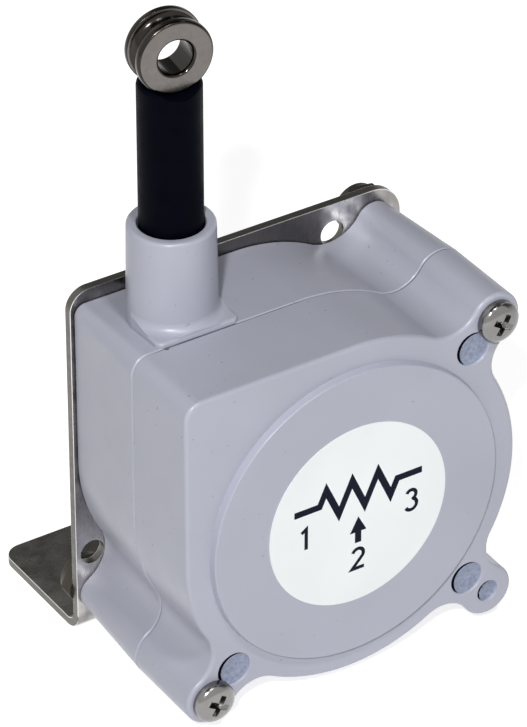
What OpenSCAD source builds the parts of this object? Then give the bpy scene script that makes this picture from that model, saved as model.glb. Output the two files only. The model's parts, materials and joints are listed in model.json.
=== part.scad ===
// Draw wire encoder: a compact string potentiometer.
// A nylon coated wire winds on a spool inside two moulded shells. A power spring pulls it back,
// and the spool turns a three-turn potentiometer that stands out behind the stainless bracket.
//
// Row frame: origin at the centre of the foot's two bolt holes, on the foot's underside;
// +X to the right seen from the label side, +Y towards the back, +Z up, along the wire.
// Inside the modules the frame is the sensor frame: the spool's axis is Y, and y = 0 is the
// face of the raised disc that carries the label.

/* [Housing] */
// Radius of the round body of both shells
body_r = 29.6; // [28:0.1:36]
// Radius of an ear around its screw
ear_r = 4.4; // [4:0.1:5.5]
// Distance from the body's circle out to an ear's centre
ear_offset = 6.32; // [5:0.1:8]
// Radius of the hollow blend between body and ear
neck_r = 5.5; // [3:0.1:8]
// Radius of the squared upper left corner
corner_r = 3; // [2.2:0.1:6]
// Rounding of the front edge
edge_r = 0.8; // [0.3:0.1:1.2]
// Depth of the front shell, from its flange face to the seam
front_depth = 14.8; // [14:0.1:20]
// Depth of the rear shell, from the seam to the bracket
rear_depth = 18.6; // [18:0.1:26]
// How much the rear shell tapers in towards the bracket
draft_in = 1.1; // [0:0.1:1.4]
// Thickness of the front wall under the raised disc
wall_front = 2.4; // [1.6:0.1:3]
// Thickness of the shells' round wall
wall_side = 3.6; // [2.4:0.1:4]
// Thickness of the back wall that holds the potentiometer
wall_back = 3.2; // [2.4:0.1:3.6]
// Radius of the raised disc on the front
disc_r = 25.4; // [20:0.1:27]
// Height of the raised disc above the flange face
disc_raise = 1.2; // [0.6:0.1:2]
// Width of the bevel around the raised disc
disc_bevel = 0.5; // [0.2:0.1:1]
// Width of the chamfer that each shell has at the seam
seam_chamfer = 0.25; // [0.1:0.05:0.4]
// Radius of the round label
label_r = 15.875; // [10:0.1:19]
// Thickness of the label
label_t = 0.15; // [0.1:0.05:0.3]

/* [Snout] */
// Wall of the snout around the sleeve's bore, where it leaves the body
snout_wall = 1.85; // [1.4:0.05:2.5]
// How much the snout's radius tapers towards its rim
snout_taper = 0.25; // [0:0.05:0.5]
// Height of the snout above the body's flat top
snout_h = 16.1; // [10:0.1:30]
// Radial gap between the sleeve and the snout's bore
sleeve_gap = 0.25; // [0.15:0.05:0.5]
// Height of the raised pad in front of the snout
pad_h = 0.8; // [0.4:0.1:1.4]

/* [Wire and spool] */
// Pull-out length of the wire
stroke = 317.5; // [264:0.5:330]
// Turns that the spool makes over the whole stroke
stroke_turns = 2.85; // [2.8:0.05:3]
// Diameter of the coated wire
wire_d = 0.48; // [0.4:0.02:0.6]
// Turns left on the spool when the wire is out
spare_turns = 1; // [0.5:0.25:2]
// Distance between neighbouring turns on the spool
wire_pitch = 0.65; // [0.6:0.05:0.9]
// How far the spool's flanges stand above the wire
flange_rise = 2.9; // [1.5:0.1:4]
// Width of the spool between its flanges
drum_w = 7.6; // [7:0.1:9]
// Thickness of the spool's flanges
flange_t = 1.2; // [0.8:0.1:1.6]

/* [Sleeve and eyelet] */
// Outer radius of the rubber sleeve
sleeve_r = 4.9; // [4.2:0.1:5.2]
// Radius of the sleeve's bore
sleeve_bore_r = 2.3; // [2:0.1:2.6]
// How far the sleeve stands out of the snout
sleeve_show = 24.1; // [15:0.1:40]
// How far the eyelet sits in the saddle at the sleeve's end
eyelet_sink = 1.1; // [0:0.1:1.2]
// Outer radius of the eyelet
eyelet_r = 6; // [5:0.1:7]
// Radius of the eyelet's bore inside its rounded mouths
eyelet_bore_r = 2.75; // [2.5:0.05:3.3]
// Rounding of the bore's mouths
mouth_soft = 0.65; // [0.3:0.05:0.9]
// Width of the eyelet
eyelet_w = 5.6; // [4:0.1:6]
// Radius at the bottom of the eyelet's groove
groove_r = 4.45; // [4.2:0.05:4.8]
// Width of the groove at the eyelet's rim
groove_w = 3; // [2:0.1:3.4]
// Angle by which the eyelet hangs turned about the wire
eyelet_turn = -8; // [-90:1:90]

/* [Bracket] */
// Thickness of the bracket's sheet
plate_t = 1.5; // [1:0.1:1.6]
// Inner radius of the bend
bend_r = 1.8; // [0.8:0.1:3]
// Depth of the foot, from the plate's front face
foot_depth = 23.9; // [22:0.1:40]
// Distance from the body's lowest point down to the foot's underside
foot_drop = 3.2; // [2.8:0.1:10]
// Distance between the foot's two bolt holes
foot_pitch = 38.1; // [30:0.1:44]
// Distance from the plate's front face back to the bolt holes
foot_hole_back = 12.7; // [11:0.1:14]
// Radius of the foot's bolt holes
foot_hole_r = 2.55; // [2:0.05:3.2]
// Sheet outside the screw at the top and right
plate_margin = 5.2; // [4.6:0.1:6]
// Sheet outside the screw at the left
plate_margin_left = 3.7; // [3.6:0.1:5.2]
// Radius of the plate's upper left corner
plate_corner_r = 3.5; // [1:0.1:4]
// Radius of the foot's two free corners
foot_corner_r = 3; // [1:0.1:4]
// Distance from a screw to the spare hole beside it, across for the upper and up for the lower
spare_shift = 7.4; // [6.6:0.1:8.4]
// How far outside its screw the lower spare hole lies
spare_out = 0.8; // [0:0.1:1]
// Radius of the spare holes
spare_r = 2.1; // [1.8:0.05:2.3]

/* [Fasteners] */
// Radius of the cover screws' thread
screw_r = 1.75; // [1.6:0.05:1.8]
// How far a cover screw stands out of its nut
screw_show = 0.1; // [0:0.1:2]
// Radius of the pan head
head_r = 3.43; // [3.2:0.01:3.8]
// Height of the pan head
head_h = 2.2; // [1.8:0.1:2.4]
// Width across the flats of the rear nuts
nut_af = 7.94; // [7:0.01:8.2]
// Thickness of a rear nut's hexagon
nut_t = 2.4; // [1.8:0.1:3]
// Height of its round collar, which holds the locking insert
collar_h = 1.2; // [0.8:0.1:1.6]
// Radius of the assembly pins' heads and of their pockets, less the gap
pin_head_r = 2.75; // [2.4:0.05:2.9]
// Depth of the pin pockets
pocket_depth = 1.6; // [1:0.1:2]

/* [Potentiometer] */
// Radius of the potentiometer's case
pot_r = 11.1; // [10.5:0.1:12]
// Length of the potentiometer behind the shell
pot_len = 20.6; // [20:0.1:21.5]
// Radius of the threaded bushing
bushing_r = 4.76; // [4.5:0.01:5]
// Length of the threaded bushing
bushing_len = 7.9; // [7.4:0.1:8.2]
// Radius of the shaft
shaft_r = 3.175; // [3:0.005:3.2]
// Length of the shaft in front of the shell's rear face
shaft_len = 20.6; // [19:0.1:21]

/* [Clearances] */
// Radial gap of a shaft that runs in a bearing
run_gap = 0.04; // [0.02:0.01:0.08]
// Radial gap round a screw or a pin that only locates
hole_gap = 0.15; // [0.1:0.05:0.3]
// Gap between pieces that move past each other
move_gap = 0.3; // [0.2:0.05:0.5]
// Gap between neighbouring pieces that don't move
seat_gap = 0.05; // [0.02:0.01:0.1]

/* [Hidden] */
$fn = 64;
EPS = 0.01;

// Planes along the spool's axis, front to back
flange_y = disc_raise;                        // front face of the ears
seam_y = flange_y + front_depth;              // where the two shells meet
plate_y = seam_y + rear_depth;                // rear shell against the bracket
plate_back_y = plate_y + plate_t;
back_wall_y = plate_y - wall_back;            // inside of the back wall

// Row frame: the foot's bolt holes are the origin
axis_height = body_r + foot_drop;
face_to_holes = plate_y + foot_hole_back;

// Outline of the shells
ear_dist = body_r + ear_offset;
ear_c = ear_dist / sqrt(2);                   // an ear's x and z
neck_dist = body_r + neck_r;
neck_to_ear = ear_r + neck_r;
neck_angle = acos((ear_dist ^ 2 + neck_dist ^ 2 - neck_to_ear ^ 2) / (2 * ear_dist * neck_dist));
ear_angle = acos((ear_dist ^ 2 + neck_to_ear ^ 2 - neck_dist ^ 2) / (2 * ear_dist * neck_to_ear));
UPPER_RIGHT = 45;
LOWER_LEFT = 225;
LOWER_RIGHT = 315;
SCREWED_EARS = [UPPER_RIGHT, LOWER_LEFT];
PINNED_EARS = [UPPER_RIGHT, LOWER_LEFT, LOWER_RIGHT];

// Hollow of the shells
cavity_r = body_r - wall_side;
lip_t = 1;                                    // thickness of the front shell's locating lip
lip_h = 1.4;                                  // how far the lip enters the rear shell

// Wire line
winding_r = stroke / (2 * PI * stroke_turns);
wire_r = wire_d / 2;
wire_x = -winding_r;
drum_y = plate_y - 14.6;                      // front end of the winding
wire_y = drum_y + drum_w / 2;                 // plane of the wire's way out
bore_r = sleeve_r + sleeve_gap;
snout_r = bore_r + snout_wall;
snout_rim_r = snout_r - snout_taper;
snout_top = body_r + snout_h;
pad_half = snout_r + 0.2;
flare = 1.5;                                  // fillet between the snout and its pad
bore_floor = body_r - 0.6;
guide_flange_t = 1;
guide_flange_r = 3.9;
guide_r = 2.5;
guide_len = 6;
guide_bore_r = wire_r + 0.36;
sleeve_bottom = bore_floor + move_gap;
sleeve_top = snout_top + sleeve_show;
eyelet_z = sleeve_top - eyelet_sink + eyelet_r + seat_gap;
ferrule_r = 1.4;
ferrule_len = 8;
ferrule_top = eyelet_z - eyelet_r - 1.85;
loop_r = groove_r + wire_r + seat_gap;        // centre line of the loop round the eyelet
meet_z = ferrule_top - 1;                     // where the loop's two legs meet
loop_lean = asin(loop_r / (eyelet_z - meet_z));

// Spool
flange_r = winding_r + flange_rise;
drum_r = winding_r - wire_r - 0.09;           // the winding's chords stay outside the drum
drum_wall = 2.6;
spool_front = drum_y - flange_t;
spool_back = drum_y + drum_w + flange_t;
web_t = 2.4;
hub_r = 6.5;
hub_back = spool_front + web_t + 3;
coil_turns = stroke_turns + spare_turns;
anchor_r = 0.8;

// Power spring and what holds it
bearing_r = 4;
journal_r = 2.5;
boss_r = 6;
cup_y = flange_y + 4.3;                       // seat of the spring cup
cup_t = 0.5;
cup_r = cavity_r - 1.6;
cup_back = cup_y + 7.7;
cover_t = 0.8;
cover_back = cup_back + cover_t;
arbor_r = 5;
arbor_front = cup_y + 0.2;
hub_front = cover_back + 0.6;
strip_t = 0.3;
strip_w = 6.35;
strip_y = cup_y + cup_t + 0.2;
spring_pitch = 2;
spring_hook = 1.5;                            // how far the strip's inner end enters the spool
spring_halves = 2 * floor((cup_r - cup_t - 0.6 - arbor_r) / spring_pitch) - 1;
spring_r = cup_r - cup_t - 0.3 - strip_t - (spring_halves + 1) * spring_pitch / 2;
key_w = 3;

// Potentiometer
pot_flange_t = 1.6;
pot_wall = 1;
pot_inner_r = pot_r - pot_wall;
pot_front = plate_y + pot_flange_t;
pot_back = plate_y + pot_len;
pot_key_r = 1;                                // the small pin that stops the case turning
pot_key_at = 8.7;
pot_washer_t = 0.6;
pot_nut_t = 2.4;
pot_nut_af = 12.7;
helix_d = 1.6;
helix_r = pot_inner_r - helix_d / 2 - 0.7;    // centre line of the resistance element
helix_pitch = 4.4;
helix_turns = 3;
rotor_r = shaft_r + 0.425;
rail_w = 1.4;
rail_r = rotor_r + 1.4;
carriage_r = rotor_r + 2.6;
wiper_w = 3;
wiper_y = pot_front + 1.2;
finger_w = 1;
block_out = 2.4;                              // how far the terminal block stands out
block_len = 11.5;
block_w = 8;
terminal_w = 3;
terminal_t = 0.5;
terminal_show = 5;
terminal_pitch = 3.75;

// Fasteners
screw_len = plate_back_y + nut_t + collar_h + screw_show - flange_y;
collar_r = nut_af / 2 - 0.07;
insert_r = collar_r - 0.8;
dimple_r = 1.85;
dimple_depth = 0.9;
pin_r = 1.5;
pin_len = 16;
pin_dist = ear_dist - 5.7;

STEEL = [0.72, 0.71, 0.70];
DARK_STEEL = [0.36, 0.35, 0.31];
BRASS = [0.78, 0.62, 0.32];
GREY = [0.68, 0.69, 0.74];
RUBBER = [0.06, 0.06, 0.09];

// ---------------------------------------------------------------- placing

module in_sensor() { translate([0, -face_to_holes, axis_height]) children(); }
module rod_y(r, y0, y1) { translate([0, y0, 0]) rotate([-90, 0, 0]) cylinder(r = r, h = y1 - y0); }
module turned_y(profile) { rotate([-90, 0, 0]) rotate_extrude() polygon(profile); }
module on_diagonal(at, dist) { translate([dist * cos(at), 0, dist * sin(at)]) children(); }
module on_wire() { translate([wire_x, wire_y, 0]) children(); }
module hexagon_y(across_flats, y0, y1) {
    translate([0, y0, 0]) rotate([-90, 0, 0])
        cylinder(r = across_flats / sqrt(3), h = y1 - y0, $fn = 6);
}

// ---------------------------------------------------------------- outline of the shells

// Points of an arc without its last one, so that arcs can follow each other
function arc(c, r, a0, a1, n) =
    [for (i = [0:n - 1]) let (a = a0 + (a1 - a0) * i / n) c + r * [cos(a), sin(a)]];

// One ear with the hollow blends on both sides of it, moved in by d
function ear_points(at, d) =
    let (
        ear = ear_dist * [cos(at), sin(at)],
        neck_1 = neck_dist * [cos(at - neck_angle), sin(at - neck_angle)],
        neck_2 = neck_dist * [cos(at + neck_angle), sin(at + neck_angle)]
    )
    concat(
        arc(neck_1, neck_r + d, at - neck_angle + 180, at + ear_angle, 7),
        arc(ear, ear_r - d, at + ear_angle - 180, at - ear_angle + 180, 16),
        arc(neck_2, neck_r + d, at - ear_angle, at + neck_angle - 180, 7)
    );

// Whole outline in x and z, anticlockwise from the top, moved in by d
function outline(d) =
    let (r = body_r - d, c = body_r - corner_r)
    concat(
        [[0, r]],
        arc([-c, c], corner_r - d, 90, 180, 6), [[-r, c]],
        arc([0, 0], r, 180, LOWER_LEFT - neck_angle, 8), ear_points(LOWER_LEFT, d),
        arc([0, 0], r, LOWER_LEFT + neck_angle, LOWER_RIGHT - neck_angle, 15),
        ear_points(LOWER_RIGHT, d),
        arc([0, 0], r, LOWER_RIGHT + neck_angle - 360, UPPER_RIGHT - neck_angle, 15),
        ear_points(UPPER_RIGHT, d),
        arc([0, 0], r, UPPER_RIGHT + neck_angle, 90, 8)
    );

// A solid through rings of the outline: each ring is [y, how far it is moved in]
module loft(rings) {
    n = len(outline(0));
    points = [for (ring = rings) for (p = outline(ring[1])) [p.x, ring[0], p.y]];
    sides = [
        for (i = [0:len(rings) - 2]) for (j = [0:n - 1])
            let (k = (j + 1) % n) [i * n + j, i * n + k, (i + 1) * n + k, (i + 1) * n + j]
    ];
    front = [for (j = [n - 1:-1:0]) j];
    back = [for (j = [0:n - 1]) (len(rings) - 1) * n + j];
    polyhedron(points = points, faces = concat([front], sides, [back]));
}

// A loft cut off flat at both ends. Its first and last rings lie outside the cuts.
module shell_blank(rings, y0, y1) {
    reach = 2 * ear_dist;
    intersection() {
        loft(rings);
        translate([-reach / 2, y0, -reach / 2]) cube([reach, y1 - y0, reach]);
    }
}

// ---------------------------------------------------------------- shells

module ear_bores(y0, y1) {
    for (at = SCREWED_EARS) on_diagonal(at, ear_dist) rod_y(screw_r + hole_gap, y0, y1);
}

module pin_bores(y0, y1) {
    for (at = PINNED_EARS) on_diagonal(at, pin_dist) rod_y(pin_r + seat_gap, y0, y1);
}

// Raised disc with a hollow bevel that runs out just under the flange face
module raised_disc() {
    rim = 0.2;
    foot = disc_raise + 2 * EPS;
    turned_y(concat(
        [[0, 0], [disc_r - rim, 0], [disc_r, rim]],
        [for (a = [15:15:90]) [disc_r + disc_bevel * (1 - cos(a)), rim + (foot - rim) * sin(a)]],
        [[disc_r + disc_bevel, disc_raise + 1], [0, disc_raise + 1]]
    ));
}

module front_housing() {
    // Quarter round of the front edge, then a chamfer at the seam
    edge = [for (a = [90, 60, 30, 0]) [flange_y + edge_r * (1 - sin(a)), edge_r * (1 - cos(a))]];
    rings = concat(
        [2 * edge[0] - edge[1]], edge,
        [[seam_y - seam_chamfer, 0], [seam_y + seam_chamfer, 2 * seam_chamfer]]
    );
    key_gap = key_w / 2 + 0.2;
    color(GREY) in_sensor() {
        difference() {
            union() {
                shell_blank(rings, flange_y, seam_y);
                raised_disc();
                difference() {
                    rod_y(cavity_r + lip_t, seam_y - 1, seam_y + lip_h);
                    rod_y(cavity_r, seam_y - 2, seam_y + lip_h + EPS);
                }
            }
            difference() {
                rod_y(cavity_r, cup_y, seam_y + lip_h + EPS);
                // Two ribs that hold the spring cup's key
                for (side = [-1, 1])
                    translate([side * (key_gap + 0.6) - 0.6, cup_y - EPS, -cavity_r - 1])
                        cube([1.2, 5, cavity_r + 1 - cup_r - 0.2]);
            }
            difference() {
                rod_y(cup_r - 1.4, wall_front, cup_y + EPS);
                rod_y(boss_r, 0, cup_y - 0.1);
            }
            rod_y(bearing_r + seat_gap, wall_front, cup_y + EPS);
            ear_bores(0, seam_y + EPS);
            pin_bores(0, seam_y + EPS);
            for (at = PINNED_EARS) on_diagonal(at, pin_dist)
                rod_y(pin_head_r + seat_gap, 0, flange_y + pocket_depth + 1);
            on_diagonal(LOWER_RIGHT, ear_dist) rod_y(dimple_r, 0, flange_y + dimple_depth);
        }
    }
}

// Rounded tongue in front of the snout, which takes its end to the seam
module snout_pad() {
    blend = 1.3;
    bevel = 0.35;
    hull() for (side = [-1, 1]) {
        on_wire() translate([side * (pad_half - blend), seam_y + blend - wire_y, body_r - 3]) {
            cylinder(r = blend, h = pad_h - bevel + 3, $fn = 32);
            cylinder(r = blend - bevel, h = pad_h + 3, $fn = 32);
        }
        on_wire() translate([side * (pad_half - blend), 0, body_r - 3]) {
            cylinder(r = blend, h = pad_h - bevel + 3, $fn = 32);
            cylinder(r = blend - bevel, h = pad_h + 3, $fn = 32);
        }
    }
}

// Fillet that runs from the pad up into the snout
module snout_flare() {
    z0 = body_r + pad_h;
    on_wire() intersection() {
        rotate_extrude() polygon(concat(
            [[0, z0 - 1], [snout_r + flare - 0.1, z0 - 1]],
            [for (a = [-84:12:0]) [
                snout_r + flare - flare * cos(a), z0 + flare + flare * sin(a)
            ]],
            [[0, z0 + flare]]
        ));
        translate([-pad_half, seam_y - wire_y, z0 - 1])
            cube([2 * pad_half, wire_y - seam_y + 0.5, flare + 2]);
    }
}

module snout() {
    lip = 0.6;
    on_wire() rotate_extrude() polygon(concat(
        [[0, body_r - 3], [snout_r, body_r - 3], [snout_r, body_r]],
        [for (a = [0:30:90]) [
            snout_rim_r - lip * (1 - cos(a)),
            snout_top - lip * (1 - sin(a))
        ]],
        [[0, snout_top]]
    ));
}

// A wide snout is cut flat where the two shells meet, in line with its pad
module snout_in_rear() {
    if (wire_y - snout_r < seam_y - EPS) intersection() {
        snout();
        translate([wire_x - 2 * snout_r, seam_y, 0]) cube([4 * snout_r, 2 * snout_r + 20, snout_top + 1]);
    } else snout();
}

module rear_housing() {
    back_edge = 0.5;
    rings = [
        [seam_y - seam_chamfer, 2 * seam_chamfer], [seam_y + seam_chamfer, 0],
        [plate_y - back_edge, draft_in], [plate_y + back_edge, draft_in + 2 * back_edge]
    ];
    color(GREY) in_sensor() {
        difference() {
            union() {
                shell_blank(rings, seam_y, plate_y);
                snout_in_rear();
                snout_pad();
                snout_flare();
            }
            rod_y(cavity_r, seam_y - EPS, back_wall_y);
            rod_y(cavity_r + lip_t + seat_gap, seam_y - EPS, seam_y + lip_h + 0.1);
            rod_y(bushing_r + hole_gap, back_wall_y - EPS, plate_y + EPS);
            translate([0, 0, -pot_key_at]) rod_y(pot_key_r + hole_gap, plate_y - 1.6, plate_y + EPS);
            ear_bores(seam_y - EPS, plate_y + EPS);
            pin_bores(seam_y - EPS, flange_y + pocket_depth + 1 + pin_len);
            on_wire() {
                translate([0, 0, bore_floor]) cylinder(r = bore_r, h = snout_top);
                translate([0, 0, snout_top - 0.35])
                    cylinder(r1 = bore_r, r2 = bore_r + 0.4, h = 0.4);
                translate([0, 0, bore_floor - guide_flange_t])
                    cylinder(r = guide_flange_r + seat_gap, h = guide_flange_t + EPS);
                translate([0, 0, bore_floor - guide_flange_t - guide_len])
                    cylinder(r = guide_r + seat_gap, h = guide_len + EPS);
                cylinder(r = guide_r - 1, h = bore_floor - guide_flange_t - guide_len + EPS);
            }
        }
    }
}

module label() {
    color("white") in_sensor() rod_y(label_r, -label_t, 0);
}

// ---------------------------------------------------------------- bracket

module mounting_bracket() {
    left = ear_c + plate_margin_left;
    right = ear_c + plate_margin;
    top = ear_c + plate_margin;
    outer_r = bend_r + plate_t;
    color(STEEL) in_sensor() {
        difference() {
            translate([-left, 0, 0]) rotate([90, 0, 90]) linear_extrude(left + right) {
                translate([plate_y, outer_r - axis_height])
                    square([plate_t, top + axis_height - outer_r]);
                translate([plate_y + outer_r, -axis_height])
                    square([foot_depth - outer_r, plate_t]);
                translate([plate_y + outer_r, outer_r - axis_height]) intersection() {
                    difference() {
                        circle(r = outer_r);
                        circle(r = bend_r);
                    }
                    translate([-outer_r, -outer_r]) square(outer_r);
                }
            }
            corner_cut_y([right - plate_margin, top - plate_margin], plate_margin, [1, 1]);
            corner_cut_y([-left + plate_corner_r, top - plate_corner_r], plate_corner_r, [-1, 1]);
            for (side = [-1, 1]) foot_corner_cut(side, left, right);
            rod_y(pot_r + 1, plate_y - 1, plate_back_y + 1);
            for (at = SCREWED_EARS) on_diagonal(at, ear_dist)
                rod_y(screw_r + hole_gap, plate_y - 1, plate_back_y + 1);
            translate([ear_c - spare_shift, 0, ear_c])
                rod_y(spare_r, plate_y - 1, plate_back_y + 1);
            translate([-ear_c - spare_out, 0, -ear_c + spare_shift])
                rod_y(spare_r, plate_y - 1, plate_back_y + 1);
            for (side = [-1, 1])
                translate([side * foot_pitch / 2, face_to_holes, -axis_height - 1])
                    cylinder(r = foot_hole_r, h = plate_t + 2);
        }
    }
}

// What a rounded corner of radius r leaves over, outside centre c towards direction dir
module corner_rest(r, dir) {
    difference() {
        translate([dir.x > 0 ? 0 : -r - 1, dir.y > 0 ? 0 : -r - 1]) square(r + 1);
        circle(r = r);
    }
}

module corner_cut_y(c, r, dir) {
    translate([c.x, plate_back_y + 1, c.y]) rotate([90, 0, 0])
        linear_extrude(plate_t + 2) corner_rest(r, dir);
}

module foot_corner_cut(side, left, right) {
    x = side > 0 ? right - foot_corner_r : -left + foot_corner_r;
    translate([x, plate_y + foot_depth - foot_corner_r, -axis_height - 1])
        linear_extrude(plate_t + 2) corner_rest(foot_corner_r, [side, 1]);
}

// ---------------------------------------------------------------- fasteners

// Pan head with a cross recess, and a plain shank as long as the screw
module pan_screw() {
    arm = 0.52;
    reach = 1.9;
    dome = concat(
        [[0, 0], [head_r - 0.1, 0], [head_r, -0.1], [head_r, -0.45 * head_h]],
        [for (a = [15:15:90]) [
            head_r * cos(a) + 0.9 * (1 - cos(a)) * sin(a),
            -0.45 * head_h - 0.55 * head_h * sin(a)
        ]],
        [[0, -head_h]]
    );
    cross = [
        [arm, arm], [arm, reach], [-arm, reach], [-arm, arm], [-reach, arm], [-reach, -arm],
        [-arm, -arm], [-arm, -reach], [arm, -reach], [arm, -arm], [reach, -arm], [reach, arm]
    ];
    difference() {
        union() {
            turned_y(dome);
            rod_y(screw_r, -EPS, screw_len);
        }
        translate([0, -head_h - EPS, 0]) rotate([-90, 0, 0])
            linear_extrude(1.7, scale = 0.35) polygon(cross);
    }
}

module cover_screws() {
    turn = 30;                                // how the cross recesses lie
    color(STEEL) in_sensor() for (at = SCREWED_EARS)
        on_diagonal(at, ear_dist) translate([0, flange_y, 0]) rotate([0, turn, 0]) pan_screw();
}

// Lock nuts: a hexagon against the plate and a round collar behind it around the insert
module rear_nuts() {
    y0 = plate_back_y;
    y1 = y0 + nut_t;
    y2 = y1 + collar_h;
    corner = nut_af / sqrt(3);
    soft = 0.3;
    color(DARK_STEEL) in_sensor() for (at = SCREWED_EARS) on_diagonal(at, ear_dist) difference() {
        union() {
            intersection() {
                hexagon_y(nut_af, y0, y1);
                turned_y([
                    [0, y0], [corner - 0.45, y0], [corner, y0 + 0.3],
                    [corner, y1 - 0.35], [corner - 0.6, y1], [0, y1]
                ]);
            }
            turned_y(concat(
                [[0, y1 - 0.5], [collar_r, y1 - 0.5]],
                [for (a = [0:30:90]) [
                    collar_r - soft * (1 - cos(a)), y2 - soft * (1 - sin(a))
                ]],
                [[0, y2]]
            ));
        }
        rod_y(screw_r + seat_gap, y0 - 1, y2 + 1);
        rod_y(insert_r, y1 - 0.2, y2 - 0.15);
    }
}

// Soft rings in the collars that grip the screws
module nut_inserts() {
    y1 = plate_back_y + nut_t;
    color("white") in_sensor() for (at = SCREWED_EARS) on_diagonal(at, ear_dist) difference() {
        rod_y(insert_r - seat_gap, y1 - 0.2 + EPS, y1 + collar_h - 0.15 - EPS);
        rod_y(screw_r + EPS, y1 - 1, y1 + collar_h + 1);
    }
}

// Headed pins pressed through both shells, sunk below the flange face
module assembly_pins() {
    y0 = flange_y + pocket_depth;
    color(GREY) in_sensor() for (at = PINNED_EARS) on_diagonal(at, pin_dist) {
        rod_y(pin_head_r, y0, y0 + 1);
        rod_y(pin_r, y0 + 1 - EPS, y0 + 0.9 + pin_len);
    }
}

// ---------------------------------------------------------------- wire, sleeve and eyelet

module wire_guide() {
    z0 = bore_floor - guide_flange_t - guide_len;
    flare = 0.8;
    color("ivory") in_sensor() on_wire() rotate_extrude() polygon([
        [guide_bore_r + flare, z0 + 0.1], [guide_r, z0 + 0.1],
        [guide_r, bore_floor - guide_flange_t], [guide_flange_r, bore_floor - guide_flange_t],
        [guide_flange_r, bore_floor], [guide_bore_r + flare, bore_floor],
        [guide_bore_r, bore_floor - 1.2], [guide_bore_r, z0 + 1.3]
    ]);
}

module draw_wire() {
    color("silver") in_sensor() on_wire() translate([0, 0, 2 * EPS])
        cylinder(r = wire_r, h = ferrule_top - 3 - 2 * EPS);
}

// The eyelet and what is crimped to it share one twist about the wire
module on_wire_end() { in_sensor() on_wire() rotate([0, 0, eyelet_turn]) children(); }

module eyelet() {
    w = eyelet_w / 2;
    soft = 0.6;
    // Rounded mouth and rim on one face, side 1 or -1
    function mouth(side) = [for (a = [0:22.5:90]) [
        eyelet_bore_r + mouth_soft * (1 - cos(a)),
        side * (w - mouth_soft * (1 - sin(a)))
    ]];
    function rim(side) = [for (a = [90:-22.5:0]) [
        eyelet_r - soft * (1 - cos(a)),
        side * (w - soft * (1 - sin(a)))
    ]];
    function back(line) = [for (i = [len(line) - 1:-1:0]) line[i]];
    color(STEEL) on_wire_end() translate([0, 0, eyelet_z]) turned_y(concat(
        mouth(1), rim(1), [[eyelet_r, groove_w / 2]],
        [for (a = [75:-15:-75]) [
            eyelet_r - (eyelet_r - groove_r) * cos(a),
            groove_w / 2 * sin(a)
        ]],
        [[eyelet_r, -groove_w / 2]], back(rim(-1)), back(mouth(-1))
    ));
}

// The wire's own end, laid round the groove and brought down into the ferrule
module wire_loop() {
    leg = sqrt((eyelet_z - meet_z) ^ 2 - loop_r ^ 2);
    color("silver") on_wire_end() {
        translate([0, 0, eyelet_z]) rotate([90, 0, 0]) rotate([0, 0, -loop_lean])
            rotate_extrude(angle = 180 + 2 * loop_lean) translate([loop_r, 0]) circle(r = wire_r);
        for (side = [-1, 1]) translate([0, 0, meet_z]) rotate([0, side * loop_lean, 0]) {
            cylinder(r = wire_r, h = leg - 2 * EPS);
            translate([0, 0, leg]) sphere(r = wire_r + 2 * EPS);
        }
        translate([0, 0, meet_z]) sphere(r = wire_r + 2 * EPS);
    }
}

module crimp_ferrule() {
    mouth_r = (ferrule_top - meet_z) * tan(loop_lean) + wire_r / cos(loop_lean) + seat_gap;
    color(BRASS) on_wire_end() difference() {
        translate([0, 0, ferrule_top - ferrule_len]) cylinder(r = ferrule_r, h = ferrule_len);
        translate([0, 0, ferrule_top - ferrule_len - 1])
            cylinder(r = wire_r + run_gap, h = ferrule_len + 2);
        translate([0, 0, ferrule_top - 2.8]) cylinder(r = mouth_r, h = 3);
    }
}

module rubber_sleeve() {
    soft = 0.7;
    leg_r = 0.15 + wire_r / cos(loop_lean);
    reach = sleeve_top + 1 - meet_z;
    color(RUBBER) on_wire_end() difference() {
        rotate_extrude() polygon(concat(
            [[sleeve_bore_r, sleeve_bottom], [sleeve_r - 0.4, sleeve_bottom],
             [sleeve_r, sleeve_bottom + 0.4]],
            [for (a = [0:30:90]) [
                sleeve_r - soft * (1 - cos(a)),
                sleeve_top - soft * (1 - sin(a))
            ]],
            [[sleeve_bore_r, sleeve_top]]
        ));
        // Saddle for the eyelet, and a mouth that follows the wire loop's legs
        translate([0, 0, eyelet_z]) rod_y(eyelet_r + seat_gap, -sleeve_r - 1, sleeve_r + 1);
        translate([0, 0, meet_z])
            cylinder(r1 = leg_r, r2 = leg_r + reach * tan(loop_lean), h = reach);
    }
}

// ---------------------------------------------------------------- spool

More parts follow.
